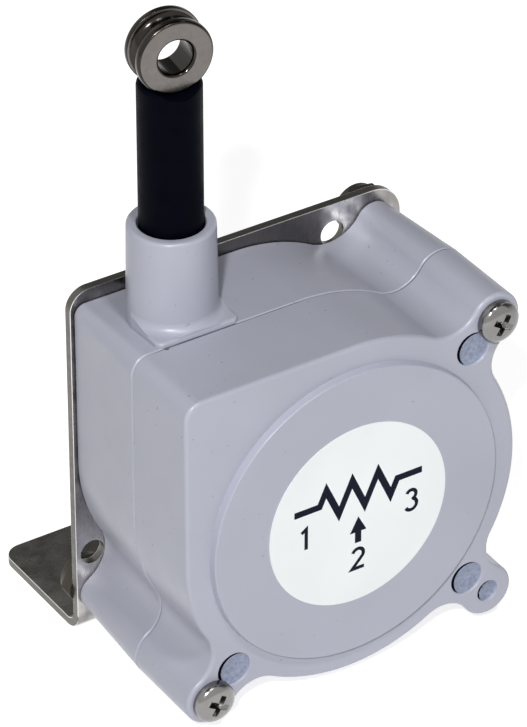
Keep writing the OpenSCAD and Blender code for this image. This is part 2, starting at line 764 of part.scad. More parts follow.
module spool() {
    slot_w = strip_t + 0.5;
    color("ivory") in_sensor() difference() {
        turned_y([
            [0, wall_front + 0.5], [journal_r, wall_front + 0.5], [journal_r, arbor_front],
            [arbor_r, arbor_front], [arbor_r, hub_front], [hub_r, hub_front],
            [hub_r, spool_front], [flange_r, spool_front], [flange_r, drum_y],
            [drum_r, drum_y], [drum_r, drum_y + drum_w], [flange_r, drum_y + drum_w],
            [flange_r, spool_back], [drum_r - drum_wall, spool_back],
            [drum_r - drum_wall, spool_front + web_t], [hub_r, spool_front + web_t],
            [hub_r, hub_back], [0, hub_back]
        ]);
        rod_y(shaft_r + seat_gap, plate_y - shaft_len - 0.5, hub_back + 1);
        // Slot that takes the inner end of the power spring
        translate([arbor_r - spring_hook - 0.3, strip_y - 0.2, -slot_w / 2])
            cube([spring_hook + 1, hub_front - strip_y + 0.1, slot_w]);
        // Tapped hole for the set screw
        translate([0, (hub_front + spool_front) / 2, 0]) cylinder(r = 1.5, h = hub_r + 1);
        // Lightening holes in the web
        for (a = [0:60:300]) rotate([0, a, 0])
            translate([(hub_r + drum_r - drum_wall) / 2, 0, 0])
                rod_y(2, spool_front - 1, spool_front + web_t + 1);
        // Pocket for the ball on the wire's inner end
        wire_start() sphere(r = anchor_r + 0.1);
    }
}

module hub_set_screw() {
    color(DARK_STEEL) in_sensor() translate([0, (hub_front + spool_front) / 2, 0]) difference() {
        translate([0, 0, shaft_r + EPS]) cylinder(r = 1.45, h = hub_r - shaft_r - 0.3);
        translate([0, 0, hub_r - 1.6]) cylinder(r = 0.75, h = 3, $fn = 6);
    }
}

// Angle of a point on the winding, from the tangent point at the left down and round
function coil_angle(t) = 180 + 360 * t;
function coil_point(t) = [
    winding_r * cos(coil_angle(t)), wire_y - wire_pitch * t, winding_r * sin(coil_angle(t))
];

// Seat of the ball on the wire's inner end, just past the last turn and clear of the one before
module wire_start() {
    past = (anchor_r + seat_gap) / (2 * PI * winding_r);
    aside = anchor_r + wire_r + seat_gap - wire_pitch;
    translate(coil_point(coil_turns + past) - [0, aside, 0]) children();
}

// A round tube along the winding, one ring of points every 10 degrees
module wound_wire() {
    sides = 6;
    steps = round(36 * coil_turns);
    points = [
        for (i = [0:steps]) for (s = [0:sides - 1])
            let (
                t = coil_turns * i / steps,
                a = coil_angle(t),
                p = coil_point(t),
                b = 360 * s / sides
            )
            p + wire_r * [cos(b) * cos(a), sin(b), cos(b) * sin(a)]
    ];
    faces = [
        for (i = [0:steps - 1]) for (s = [0:sides - 1])
            let (k = (s + 1) % sides)
            [i * sides + s, i * sides + k, (i + 1) * sides + k, (i + 1) * sides + s]
    ];
    first = [for (s = [sides - 1:-1:0]) s];
    last = [for (s = [0:sides - 1]) steps * sides + s];
    color("silver") in_sensor() polyhedron(points = points, faces = concat([first], faces, [last]));
}

module wire_anchor() {
    color(BRASS) in_sensor() wire_start() sphere(r = anchor_r);
}

// ---------------------------------------------------------------- power spring

// Half a turn of strip between two planes, above or below the axis
module half_turn(r, shift, upper) {
    translate([shift, 0, 0]) difference() {
        rod_y(r + strip_t, strip_y, strip_y + strip_w);
        rod_y(r, strip_y - 1, strip_y + strip_w + 1);
        translate([-2 * r, strip_y - 1, upper ? -2 * r : 0])
            cube([4 * r, strip_w + 2, 2 * r]);
    }
}

// A spiral of half turns whose radius grows by half a pitch each time
module power_spring() {
    half_pitch = spring_pitch / 2;
    last_r = spring_r + spring_halves * half_pitch;
    color(DARK_STEEL) in_sensor() {
        for (k = [0:spring_halves])
            half_turn(spring_r + k * half_pitch, (k % 2) * half_pitch, k % 2 == 0);
        // Hook at the inner end, in the spool's slot
        translate([arbor_r - spring_hook, strip_y, -strip_t])
            cube([spring_r + strip_t - arbor_r + spring_hook, strip_w, strip_t]);
        // Tab at the outer end, in the cup's slot
        translate([last_r + half_pitch, strip_y + 1, -strip_t])
            cube([cup_r - last_r - half_pitch, strip_w - 2, strip_t]);
    }
}

module spring_cup() {
    color(STEEL) in_sensor() difference() {
        union() {
            rod_y(cup_r, cup_y, cup_back);
            translate([-key_w / 2, cup_y, -cavity_r + 0.3]) cube([key_w, 4, 3]);
        }
        rod_y(cup_r - cup_t, cup_y + cup_t, cup_back + 1);
        rod_y(arbor_r + 2 * move_gap, cup_y - 1, cup_y + 1);
        translate([cup_r - 2, strip_y + 0.8, -strip_t - 0.1])
            cube([4, strip_w - 1.6, strip_t + 0.2]);
    }
}

module spring_cover() {
    color(STEEL) in_sensor() difference() {
        rod_y(cavity_r - seat_gap, cup_back, cover_back);
        rod_y(arbor_r + 2 * move_gap, cup_back - 1, cover_back + 1);
    }
}

module front_bearing() {
    color(BRASS) in_sensor() difference() {
        rod_y(bearing_r, wall_front, cup_y - 0.1);
        rod_y(journal_r + run_gap, wall_front - 1, cup_y + 1);
    }
}

// ---------------------------------------------------------------- potentiometer

module pot_bushing() {
    color(STEEL) in_sensor() difference() {
        union() {
            rod_y(pot_r, plate_y, pot_front);
            rod_y(bushing_r, plate_y - bushing_len, plate_y + EPS);
            translate([0, 0, -pot_key_at]) rod_y(pot_key_r, plate_y - 1.4, plate_y + EPS);
        }
        rod_y(shaft_r + run_gap, plate_y - bushing_len - 1, pot_front + 1);
    }
}

module pot_case() {
    color([0.10, 0.13, 0.22]) in_sensor() difference() {
        union() {
            rod_y(pot_r, pot_front, pot_back);
            translate([pot_r - 2, pot_back - 1 - block_len, -block_w / 2])
                cube([block_out + 2, block_len, block_w]);
        }
        rod_y(pot_inner_r, pot_front - 1, pot_back - pot_wall);
        for (i = [0:2]) terminal_place(i)
            translate([-block_w / 2, -terminal_t / 2 - seat_gap, -terminal_w / 2 - seat_gap])
                cube([block_w, terminal_t + 2 * seat_gap, terminal_w + 2 * seat_gap]);
    }
}

module terminal_place(i) {
    first = pot_back - 1 - block_len / 2 - terminal_pitch;
    translate([pot_r, first + terminal_pitch * i, 0]) children();
}

// Three flat lugs in a row, each with a hole for the lead
module pot_terminals() {
    color(BRASS) in_sensor() for (i = [0:2]) terminal_place(i) difference() {
        translate([-pot_wall + 0.1, -terminal_t / 2, -terminal_w / 2])
            cube([pot_wall - 0.1 + block_out + terminal_show, terminal_t, terminal_w]);
        translate([block_out + terminal_show - terminal_w / 2, -1, 0])
            rotate([-90, 0, 0]) cylinder(r = 0.8, h = 2);
    }
}

module pot_nut() {
    y1 = back_wall_y - pot_washer_t;
    color(STEEL) in_sensor() difference() {
        hexagon_y(pot_nut_af, y1 - pot_nut_t, y1);
        rod_y(bushing_r + seat_gap, y1 - pot_nut_t - 1, y1 + 1);
    }
}

module pot_lock_washer() {
    teeth = 10;
    color(STEEL) in_sensor() difference() {
        rod_y(pot_nut_af / 2, back_wall_y - pot_washer_t, back_wall_y);
        rod_y(bushing_r + 2 * seat_gap, back_wall_y - 1, back_wall_y + 1);
        for (a = [0:360 / teeth:359]) rotate([0, a, 0])
            translate([bushing_r + 0.3, 0, 0]) rod_y(0.5, back_wall_y - 1, back_wall_y + 1);
    }
}

// Resistance element: a coated mandrel wound in a helix against the case. It climbs towards the
// back as the angle falls, so that pulling the wire sends the wiper from its front end to its back.
module pot_element() {
    sides = 8;
    steps = 20 * helix_turns;
    r = helix_d / 2;
    spare = (helix_turns - stroke_turns) / 2;     // turns beyond the wiper at either end
    y0 = wiper_y + wiper_w / 2 - helix_pitch * spare;
    points = [
        for (i = [0:steps]) for (s = [0:sides - 1])
            let (
                t = helix_turns * i / steps,
                a = 180 - 360 * (t - spare),
                b = 360 * s / sides,
                ring_r = helix_r + r * cos(b)
            )
            [ring_r * cos(a), y0 + helix_pitch * t + r * sin(b), ring_r * sin(a)]
    ];
    faces = [
        for (i = [0:steps - 1]) for (s = [0:sides - 1])
            let (k = (s + 1) % sides)
            [i * sides + s, i * sides + k, (i + 1) * sides + k, (i + 1) * sides + s]
    ];
    first = [for (s = [sides - 1:-1:0]) s];
    last = [for (s = [0:sides - 1]) steps * sides + s];
    color([0.35, 0.22, 0.12]) in_sensor()
        polyhedron(points = points, faces = concat([first], faces, [last]));
}

// Shaft with the slotted rotor that carries the wiper round
module pot_shaft() {
    front = plate_y - shaft_len;
    color(STEEL) in_sensor() difference() {
        union() {
            turned_y([
                [0, front], [shaft_r - 0.4, front], [shaft_r, front + 0.4],
                [shaft_r, pot_front + move_gap], [rotor_r, pot_front + move_gap],
                [rotor_r, pot_back - pot_wall - move_gap], [0, pot_back - pot_wall - move_gap]
            ]);
            translate([0, pot_front + move_gap, -rail_w / 2])
                cube([rail_r, pot_back - pot_wall - pot_front - 2 * move_gap, rail_w]);
        }
        translate([-shaft_r - 1, front - 1, -0.4]) cube([2 * shaft_r + 2, 2.2, 0.8]);
    }
}

// Carriage that the rotor turns and the helix moves along
module pot_wiper() {
    finger_x = move_gap - helix_r + helix_d / 2;
    color(BRASS) in_sensor() difference() {
        union() {
            rod_y(carriage_r, wiper_y, wiper_y + wiper_w);
            translate([finger_x, wiper_y + (wiper_w - finger_w) / 2, -finger_w / 2])
                cube([-rotor_r - 1 - finger_x, finger_w, finger_w]);
        }
        rod_y(rotor_r + run_gap, wiper_y - 1, wiper_y + wiper_w + 1);
        translate([0, wiper_y - 1, -rail_w / 2 - run_gap])
            cube([rail_r + move_gap, wiper_w + 2, rail_w + 2 * run_gap]);
    }
}

mounting_bracket();
rear_housing();
front_housing();
label();
cover_screws();
rear_nuts();
nut_inserts();
assembly_pins();
wire_guide();
draw_wire();
eyelet();
wire_loop();
crimp_ferrule();
rubber_sleeve();
spool();
wound_wire();
wire_anchor();
hub_set_screw();
power_spring();
spring_cup();
spring_cover();
front_bearing();
pot_bushing();
pot_case();
pot_terminals();
pot_nut();
pot_lock_washer();
pot_element();
pot_shaft();
pot_wiper();
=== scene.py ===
import json
import math

import bmesh
import bpy
from mathutils import Matrix, Vector

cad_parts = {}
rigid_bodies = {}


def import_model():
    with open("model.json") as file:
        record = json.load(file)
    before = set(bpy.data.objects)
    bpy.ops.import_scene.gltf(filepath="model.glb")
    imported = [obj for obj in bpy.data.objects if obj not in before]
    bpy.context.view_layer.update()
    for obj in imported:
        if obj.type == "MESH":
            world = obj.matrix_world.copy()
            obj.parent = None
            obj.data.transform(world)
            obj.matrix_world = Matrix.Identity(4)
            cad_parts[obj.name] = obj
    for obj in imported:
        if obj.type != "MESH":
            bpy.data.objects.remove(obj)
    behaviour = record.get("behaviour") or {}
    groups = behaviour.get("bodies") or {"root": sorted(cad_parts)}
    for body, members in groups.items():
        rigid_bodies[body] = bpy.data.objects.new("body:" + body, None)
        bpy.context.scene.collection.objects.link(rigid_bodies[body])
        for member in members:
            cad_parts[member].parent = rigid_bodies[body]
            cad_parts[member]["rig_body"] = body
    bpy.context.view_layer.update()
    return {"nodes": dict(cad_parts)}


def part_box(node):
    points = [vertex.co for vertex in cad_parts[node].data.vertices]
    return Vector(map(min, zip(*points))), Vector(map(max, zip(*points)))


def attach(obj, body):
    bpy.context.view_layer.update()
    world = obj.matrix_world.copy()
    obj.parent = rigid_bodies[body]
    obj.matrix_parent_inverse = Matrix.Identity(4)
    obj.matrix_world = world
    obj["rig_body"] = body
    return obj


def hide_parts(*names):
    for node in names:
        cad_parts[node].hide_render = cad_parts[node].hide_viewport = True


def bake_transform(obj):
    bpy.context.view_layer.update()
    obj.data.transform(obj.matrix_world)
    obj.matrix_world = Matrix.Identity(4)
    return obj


# The two moulded shells, the headed pins, the label's print and the draw wire are built here. The
# other pieces are the CAD's own, and the ones that show get small rounded edges.
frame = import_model()
N = frame["nodes"]
SC = bpy.context.scene

# ------------------------------------------------------------------ sizes, mm, in the sensor frame:
# the spool's axis is Y, y = 0 is the face of the raised disc, z = 0 is on the axis
R_BODY, R_EAR, R_NECK, R_CORNER = 29.6, 4.4, 5.5, 3.0
FLANGE, SEAM, PLATE = 1.2, 16.0, 34.6    # the ears' front, the joint of the shells, the plate
UR, LL, LR = 45.0, 225.0, 315.0          # directions of the three ears
EAR = R_BODY + 6.32                      # from the axis to an ear's screw
PIN = EAR - 5.7                          # from the axis to a pocket's middle
R_DISC, R_SCREW = 25.62, 1.9             # the raised disc, the screws' holes
R_CAV, CAV_FRONT, CAV_BACK = 26.0, 5.5, 31.4    # the shells' cavity and its ends along Y
BEHIND = 36                              # behind the housing, where cuts through its back end
R_POCKET, R_HEAD = 2.8, 2.85             # a pocket, and the head of the pin in it
R_DIMPLE, R_FLOOR = 1.85, 2.02           # the lower right ear's dimple, and its rough floor
OFF = (0.82, -0.57)                      # which way the pins sit off centre, in x and z
WX, WY = -17.73, 23.8                    # where the wire goes up
Z_SNOUT, R_TUBE, R_BORE = 45.7, 7, 5.15  # the snout's mouth, its tube and the tube's bore
PAD, PAD_TOP, R_PAD = 7.2, 30.4, 1.3     # its square pad: half the width, the top, the corners
GUIDE_Z, R_GUIDE, R_THROAT = 28, 3.95, 2.55     # the guide bush's seat, and the hole below it
H_AXIS, F_HOLES = 32.8, 47.3             # from the foot's holes to the sensor frame, in z and y

FINER = 5                                # points on the shells' outline for one of the CAD's


def row(p):
    """Sensor frame in mm to row frame in metres."""
    return Vector((p[0], p[1] - F_HOLES, p[2] + H_AXIS)) / 1000


# ------------------------------------------------------------------ mesh helpers
def add(name, data):
    ob = bpy.data.objects.new(name, data)
    SC.collection.objects.link(ob)
    return ob


def new_object(name, verts, faces, sensor=True):
    me = bpy.data.meshes.new(name)
    me.from_pydata([row(v) if sensor else v for v in verts], [], faces)
    me.validate()
    return add(name, me)


def recalc(ob):
    """Joins points that coincide and turns every face outwards."""
    bm = bmesh.new()
    bm.from_mesh(ob.data)
    bmesh.ops.remove_doubles(bm, verts=bm.verts, dist=1e-7)
    bmesh.ops.recalc_face_normals(bm, faces=bm.faces)
    bm.to_mesh(ob.data)
    bm.free()
    return ob


def at_angle(r, a):
    """The point at radius r and a degrees."""
    return r * math.cos(math.radians(a)), r * math.sin(math.radians(a))


def bend(c, r, a0, a1, n=5):
    """n steps along an arc about c, both ends included."""
    steps = [at_angle(r, a0 + (a1 - a0) * i / n) for i in range(n + 1)]
    return [(c[0] + u, c[1] + v) for u, v in steps]


def outline(d):
    """Outline of the shells in x and z, moved in by d."""
    neck = R_BODY + R_NECK               # from the axis to the middle of a concave arc
    reach = R_EAR + R_NECK               # from there to the middle of the ear
    na = math.degrees(math.acos((EAR**2 + neck**2 - reach**2) / (2 * EAR * neck)))
    ea = math.degrees(math.acos((EAR**2 + reach**2 - neck**2) / (2 * EAR * reach)))
    r, c = R_BODY - d, R_BODY - R_CORNER

    def arc(middle, radius, a0, a1, n):
        return bend(middle, radius, a0, a1, n * FINER)[:-1]

    def ear(at):
        return (arc(at_angle(neck, at - na), R_NECK + d, at - na + 180, at + ea, 7)
                + arc(at_angle(EAR, at), R_EAR - d, at + ea - 180, at - ea + 180, 12)
                + arc(at_angle(neck, at + na), R_NECK + d, at - ea, at + na - 180, 7))

    return ([(0, r)] + arc((-c, c), R_CORNER - d, 90, 180, 5) + [(-r, c)]
            + arc((0, 0), r, 180, LL - na, 8) + ear(LL)
            + arc((0, 0), r, LL + na, LR - na, 14) + ear(LR)
            + arc((0, 0), r, LR + na - 360, UR - na, 14) + ear(UR)
            + arc((0, 0), r, UR + na, 90, 8))


def tube_faces(rows, n):
    """Faces of a closed tube through rows rings of n points each."""
    faces = [(i * n + j, i * n + (j + 1) % n, (i + 1) * n + (j + 1) % n, (i + 1) * n + j)
             for i in range(rows - 1) for j in range(n)]
    return faces + [tuple(range(n - 1, -1, -1)), tuple(range((rows - 1) * n, rows * n))]


def loft(name, rings):
    """A closed solid through rings of the outline, each (y, how far it is moved in)."""
    verts = [(x, y, z) for y, d in rings for x, z in outline(d)]
    return recalc(new_object(name, verts, tube_faces(len(rings), len(verts) // len(rings))))


def lathe(name, profile, centre=(0, 0, 0), axis="Y", seg=96):
    """A closed solid: (radius, along) points turned round an axis through centre."""
    verts, faces, rings = [], [], []
    for r, h in profile:
        first, count = len(verts), seg if r else 1
        for i in range(count):
            u, v = r * math.cos(math.tau * i / seg), r * math.sin(math.tau * i / seg)
            p = (u, h, v) if axis == "Y" else (u, v, h)
            verts.append(tuple(p[k] + centre[k] for k in range(3)))
        rings.append([first + i % count for i in range(seg)])
    for a, b in zip(rings, rings[1:] + rings[:1]):
        for j in range(seg):
            q = (j + 1) % seg
            corners = list(dict.fromkeys((a[j], a[q], b[q], b[j])))
            if len(corners) > 2:
                faces.append(corners)
    return recalc(new_object(name, verts, faces))


def upright(name, profile, seg=128):
    """A lathe's solid round the wire."""
    return lathe(name, profile, (WX, WY, 0), "Z", seg)


def rod(name, r, y0, y1, at=(0, 0), seg=32):
    """A round rod along Y, at x and z."""
    return lathe(name, [(0, y0), (r, y0), (r, y1), (0, y1)], (at[0], 0, at[1]), seg=seg)


def recess(name, r, at, lip, depth, seg):
    """The cutter for a round hole in an ear's front, with a rounded rim."""
    wide, start = r + lip, FLANGE - 0.02
    profile = [(0, -1), (wide, -1), (wide, start)] + bend((wide, start + lip), lip, 270, 180)
    profile += [(r, FLANGE + depth), (0, FLANGE + depth)]
    return lathe(name, profile, (at[0], 0, at[1]), seg=seg)


def edge_rings(y, r, sign, n=6):
    """A quarter round on the outline's edge at y; the shell lies towards +sign."""
    turns = [math.radians(90 * i / n) for i in range(n + 1)]
    return [(y + sign * r * (1 - math.cos(t)), r * (1 - math.sin(t))) for t in turns]


def rounded_prism(name, half, y0, y1, z0, z1, soft):
    """Upright prism on a rounded rectangle under the snout, with its top edge rounded by soft."""
    r = R_PAD
    x0, x1, y0, y1 = WX - half + r, WX + half - r, y0 + r, y1 - r
    corners = ((x1, y1, 0), (x0, y1, 90), (x0, y0, 180), (x1, y0, 270))
    turns = [math.radians(18 * i) for i in range(6)]
    levels = [(z0, 0)]
    levels += [(z1 - soft * (1 - math.sin(t)), soft * (1 - math.cos(t))) for t in turns]
    verts = [(x, y, z) for z, d in levels for cx, cy, a in corners
             for x, y in bend((cx, cy), r - d, a, a + 90, 8)]
    return recalc(new_object(name, verts, tube_faces(len(levels), len(verts) // len(levels))))


def apply(ob, modifier):
    """Puts the modifier's result in the object's own mesh."""
    dg = bpy.context.evaluated_depsgraph_get()
    me = bpy.data.meshes.new_from_object(ob.evaluated_get(dg))
    ob.modifiers.remove(modifier)
    old = ob.data
    ob.data = me
    bpy.data.meshes.remove(old)


def boolean(ob, cutters, op):
    for c in cutters:
        m = ob.modifiers.new("b", "BOOLEAN")
        m.operation, m.solver, m.object = op, "EXACT", c
        apply(ob, m)
    for c in cutters:
        bpy.data.objects.remove(c)


def soften(ob):
    """Smooth shading with the big flat faces kept flat."""
    me = ob.data
    me.shade_smooth()
    me.set_sharp_from_angle(angle=math.radians(32))
    m = ob.modifiers.new("normals", "WEIGHTED_NORMAL")
    m.keep_sharp, m.weight, m.mode = True, 60, "FACE_AREA"
    return ob


def from_cad(node, name, width):
    """A copy of a CAD node with edges rounded by width mm, which stands for the node."""
    me = N[node].data.copy()
    me.name = name
    ob = add(name, me)
    bm = bmesh.new()
    bm.from_mesh(me)
    bmesh.ops.remove_doubles(bm, verts=bm.verts, dist=2e-7)
    bmesh.ops.dissolve_limit(bm, angle_limit=math.radians(0.6), verts=bm.verts, edges=bm.edges,
                             use_dissolve_boundaries=False)
    bm.to_mesh(me)
    bm.free()
    b = ob.modifiers.new("edges", "BEVEL")
    b.width, b.segments, b.limit_method = width / 1000, 2, "ANGLE"
    b.angle_limit = math.radians(28)
    b.use_clamp_overlap, b.harden_normals = True, False
    apply(ob, b)
    soften(ob)
    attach(ob, N[node]["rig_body"])
    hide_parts(node)
    return ob


# ------------------------------------------------------------------ materials
def lin(r, g, b):
    """A display colour of 255 as a linear one."""
    def f(c):
        return c / 12.92 if c <= 0.04045 else ((c + 0.055) / 1.055) ** 2.4
    return (f(r / 255), f(g / 255), f(b / 255), 1.0)


def scaled(c, k):
    return (min(c[0] * k, 1), min(c[1] * k, 1), min(c[2] * k, 1), 1)


class Nodes:
    """A small builder for node materials in object coordinates, metres."""

    def __init__(self, name):
        self.mat = bpy.data.materials.new(name)
        self.mat.use_nodes = True
        self.t = self.mat.node_tree
        self.bsdf = self.t.nodes["Principled BSDF"]
        self.co = self.t.nodes.new("ShaderNodeTexCoord").outputs["Object"]
        self.axes = None

    def link(self, a, b):
        self.t.links.new(a, b)

    def fill(self, socket, v):
        """Sets a socket to a number or a colour, or links it."""
        if isinstance(v, (int, float, tuple)):
            socket.default_value = v
        else:
            self.link(v, socket)

    def noise(self, scale, detail=3.0, rough=0.5, stretch=(1, 1, 1)):
        m = self.t.nodes.new("ShaderNodeMapping")
        m.inputs["Scale"].default_value = stretch
        self.link(self.co, m.inputs["Vector"])
        n = self.t.nodes.new("ShaderNodeTexNoise")
        n.inputs["Scale"].default_value = scale
        n.inputs["Detail"].default_value = detail
        n.inputs["Roughness"].default_value = rough
        self.link(m.outputs["Vector"], n.inputs["Vector"])
        return n.outputs["Fac"]

    def remap(self, fac, a, b, lo=0, hi=1):
        """lo where fac is a, hi where it is b."""
        m = self.t.nodes.new("ShaderNodeMapRange")
        for k, v in zip(("From Min", "From Max", "To Min", "To Max"), (a, b, lo, hi)):
            m.inputs[k].default_value = v
        self.link(fac, m.inputs["Value"])
        return m.outputs["Result"]

    def along(self, axis, a, b, lo=0, hi=1):
        """lo at a on an axis, hi at b, in metres."""
        if self.axes is None:
            split = self.t.nodes.new("ShaderNodeSeparateXYZ")
            self.link(self.co, split.inputs[0])
            self.axes = split.outputs
        return self.remap(self.axes[axis], a, b, lo, hi)

    def mix(self, fac, a, b):
        m = self.t.nodes.new("ShaderNodeMix")
        m.data_type = "RGBA"
        for sock, v in ((m.inputs["Factor"], fac), (m.inputs[6], a), (m.inputs[7], b)):
            self.fill(sock, v)
        return m.outputs[2]

    def times(self, a, b):
        m = self.t.nodes.new("ShaderNodeMath")
        m.operation = "MULTIPLY"
        self.link(a, m.inputs[0])
        self.link(b, m.inputs[1])
        return m.outputs[0]

    def bump(self, fac, strength, distance, under=None):
        b = self.t.nodes.new("ShaderNodeBump")
        b.inputs["Strength"].default_value = strength
        b.inputs["Distance"].default_value = distance
        self.link(fac, b.inputs["Height"])
        if under is not None:
            self.link(under, b.inputs["Normal"])
        return b.outputs["Normal"]

    def out(self, color, rough, normal=None, **fixed):
        """Fills the shader's sockets and returns the material."""
        self.fill(self.bsdf.inputs["Base Color"], color)
        self.fill(self.bsdf.inputs["Roughness"], rough)
        if normal is not None:
            self.link(normal, self.bsdf.inputs["Normal"])
        for key, v in fixed.items():
            self.bsdf.inputs[key.replace("_", " ")].default_value = v
        return self.mat


def seam_painted_shade(n):
    """Painted shade, 1 in the shells' thin joint, weaker at the left, 0 across the snout's pad."""
    mid, top = (SEAM - F_HOLES) / 1000, (H_AXIS + R_BODY) / 1000
    gap = n.times(n.along("Y", mid - 0.00014, mid - 0.00006),
                  n.along("Y", mid + 0.00014, mid + 0.00008))
    pad = n.times(n.along("Z", top + 0.00002, top + 0.00006), n.along("X", -0.0078, -0.0082))
    gap = n.times(gap, n.remap(pad, 0, 1, 1, 0))
    patchy = n.remap(n.noise(300, 2), 0.3, 0.6, 0.6, 1)
    return n.times(gap, n.times(n.along("X", -0.028, -0.024, 0, 0.9), patchy))


def plastic(name, rgb, rough=0.33, grain=1.0, speck=True, seam=False, shine=0.5, mottle=0.0):
    """Moulded plastic: grain is its texture's depth, mottle how strong its blotches are."""
    n = Nodes(name)
    base = lin(*rgb)
    color = n.mix(n.remap(n.noise(45, 2), 0.35, 0.65), scaled(base, 0.965), scaled(base, 1.03))
    if mottle:
        blotches = n.remap(n.noise(1700, 3, 0.6), 0.34, 0.66)
        color = n.mix(blotches, scaled(base, 1 - mottle), scaled(base, 1 + mottle))
    if speck:
        dots = n.remap(n.noise(1500, 0, 0.3), 0.84, 0.87, 0, 0.6)
        color = n.mix(dots, color, scaled(base, 0.45))
    # painted shade along the thin joint of the shells
    if seam:
        color = n.mix(seam_painted_shade(n), color, scaled(base, 0.22))
    r = n.remap(n.noise(260, 3), 0.3, 0.7, rough - 0.04, rough + 0.06)
    fine = n.bump(n.noise(2600, 2), 0.05 * grain, 0.0002)
    soft = n.bump(n.noise(160, 1), 0.06 * grain, 0.0006, fine)
    return n.out(color, r, soft, Specular_IOR_Level=shine)


def metal(name, rgb, rough, depth, var, streak=(1, 1, 1), scale=700):
    """Worked metal: depth is its lines', var its tone's spread, and streak stretches the lines."""
    n = Nodes(name)
    base = lin(*rgb)
    lines = n.noise(scale, 3, 0.6, streak)
    cloud = n.remap(n.noise(70, 3), 0.3, 0.7)
    color = n.mix(cloud, scaled(base, 1 - var), scaled(base, 1 + var / 2))
    color = n.mix(n.remap(lines, 0.3, 0.7, 0, 0.25), color, scaled(base, 0.7))
    r = n.remap(lines, 0.3, 0.7, rough - 0.07, rough + 0.09)
    return n.out(color, r, n.bump(lines, depth, 0.00004), Metallic=1.0)


def sheet_steel(name):
    """Rolled stainless sheet, brushed upright, with painted reflections lower down and at the left
    and a painted glint in one corner.
    """
    n = Nodes(name)
    base, painted_glare = lin(122, 119, 118), lin(250, 248, 246)
    lines = n.noise(700, 3, 0.6, (1, 1, 0.06))
    cloud = n.noise(160, 4, 0.65)
    color = n.mix(n.remap(cloud, 0.3, 0.7), scaled(base, 0.86), scaled(base, 1.06))
    # painted reflection: the plate's lower part is painted lighter
    low_painted_reflection = n.times(n.along("Z", 0.029, 0.017), n.along("Z", 0.003, 0.006))
    color = n.mix(low_painted_reflection, color, n.mix(lines, lin(222, 218, 216), painted_glare))
    # painted reflection: the plate is painted lighter towards its left side
    left = n.along("X", -0.012, -0.028, 0, 0.5)
    color = n.mix(left, color, n.mix(n.remap(cloud, 0.4, 0.65), base, lin(205, 202, 200)))
    # painted glint: a light mottled patch by the plate's upper right hole
    corner = n.times(n.along("X", 0.0155, 0.0185), n.along("Z", 0.0545, 0.058))
    corner = n.times(corner, n.along("X", 0.0215, 0.0245, 1, 0.25))
    color = n.mix(n.times(corner, n.remap(n.noise(420, 3), 0.4, 0.6, 0.45, 1)), color, painted_glare)
    color = n.mix(n.remap(lines, 0.3, 0.7, 0, 0.25), color, lin(88, 86, 85))
    r = n.remap(lines, 0.3, 0.7, 0.2, 0.34)
    return n.out(color, r, n.bump(lines, 0.25, 0.00004), Metallic=1.0)


def rubber(name, rgb):
    n = Nodes(name)
    base = lin(*rgb)
    mottled = n.noise(380, 4, 0.6)
    color = n.mix(n.remap(mottled, 0.35, 0.7), scaled(base, 0.8), scaled(base, 1.5))
    drawn = n.noise(900, 2, 0.5, (1, 1, 0.06))
    r = n.remap(mottled, 0.3, 0.7, 0.4, 0.55)
    return n.out(color, r, n.bump(drawn, 0.12, 0.0001), Specular_IOR_Level=0.02)


TURNED = (1, 0.08, 1)                    # lines round a turned piece
M = {
    "housing": plastic("housing_plastic", (176, 178, 192), seam=True),
    # the pins' darker bluish tone is partly their own rough moulding and partly painted shade of
    # the pockets
    "pin": plastic("pin_tone_and_painted_shade", (143, 151, 174), rough=0.5, grain=4.0, mottle=0.2),
    # near black painted shade for the hollows beside the plugs
    "gap": plastic("gap_painted_shade", (16, 17, 32), rough=0.7, speck=False, shine=0.05),
    "label": plastic("label_stock", (246, 249, 250), rough=0.32, grain=0.4, speck=False),
    "ink": plastic("label_ink", (6, 8, 30), rough=0.5, grain=0.4, speck=False, shine=0.08),
    "guide": plastic("guide_acetal", (232, 228, 212), rough=0.4, grain=0.6, speck=False),
    "spool": plastic("spool_acetal", (236, 233, 220), rough=0.4, grain=0.6, speck=False),
    "pot": plastic("pot_moulding", (34, 42, 70), rough=0.3, speck=False),
    "element": plastic("element_coat", (92, 60, 36), rough=0.5, speck=False),
    # a bright steel for the bracket's rounded edges: a painted highlight
    "edge": metal("bracket_edge_painted_highlight", (222, 221, 218), rough=0.25, depth=0.1, var=0.05),
    "plate": sheet_steel("bracket_steel"),
    "cut": metal("bracket_cut", (104, 101, 97), rough=0.38, depth=0.4, var=0.15,
                 streak=(1, 0.1, 1), scale=900),
    "screw": metal("screw_steel", (136, 134, 133), rough=0.2, depth=0.15, var=0.12),
    "nut": metal("nut_steel", (72, 68, 60), rough=0.45, depth=0.6, var=0.3, scale=420),
    "eyelet": metal("eyelet_steel", (110, 106, 103), rough=0.3, depth=0.3, var=0.12,
                    streak=TURNED, scale=900),
    # a dark steel for the eyelet's groove and bore: a painted dark reflection
    "eyelet_painted_dark": metal("eyelet_painted_dark_reflection", (56, 53, 50), rough=0.17, depth=0.2, var=0.25,
                         streak=TURNED, scale=500),
    "shaft": metal("shaft_steel", (180, 180, 180), rough=0.22, depth=0.2, var=0.06,
                   streak=(1, 0.05, 1)),
    "strip": metal("spring_strip", (88, 94, 108), rough=0.3, depth=0.2, var=0.15,
                   streak=(1, 0.1, 1)),
    "brass": metal("brass", (196, 160, 92), rough=0.3, depth=0.2, var=0.1),
    "bronze": metal("sintered_bronze", (168, 124, 72), rough=0.5, depth=0.6, var=0.2, scale=500),
    "wire": metal("coated_wire", (46, 45, 44), rough=0.3, depth=0.5, var=0.08,
                  streak=(1, 1, 0.4), scale=2200),
    "sleeve": rubber("sleeve_rubber", (3, 4, 12)),
}

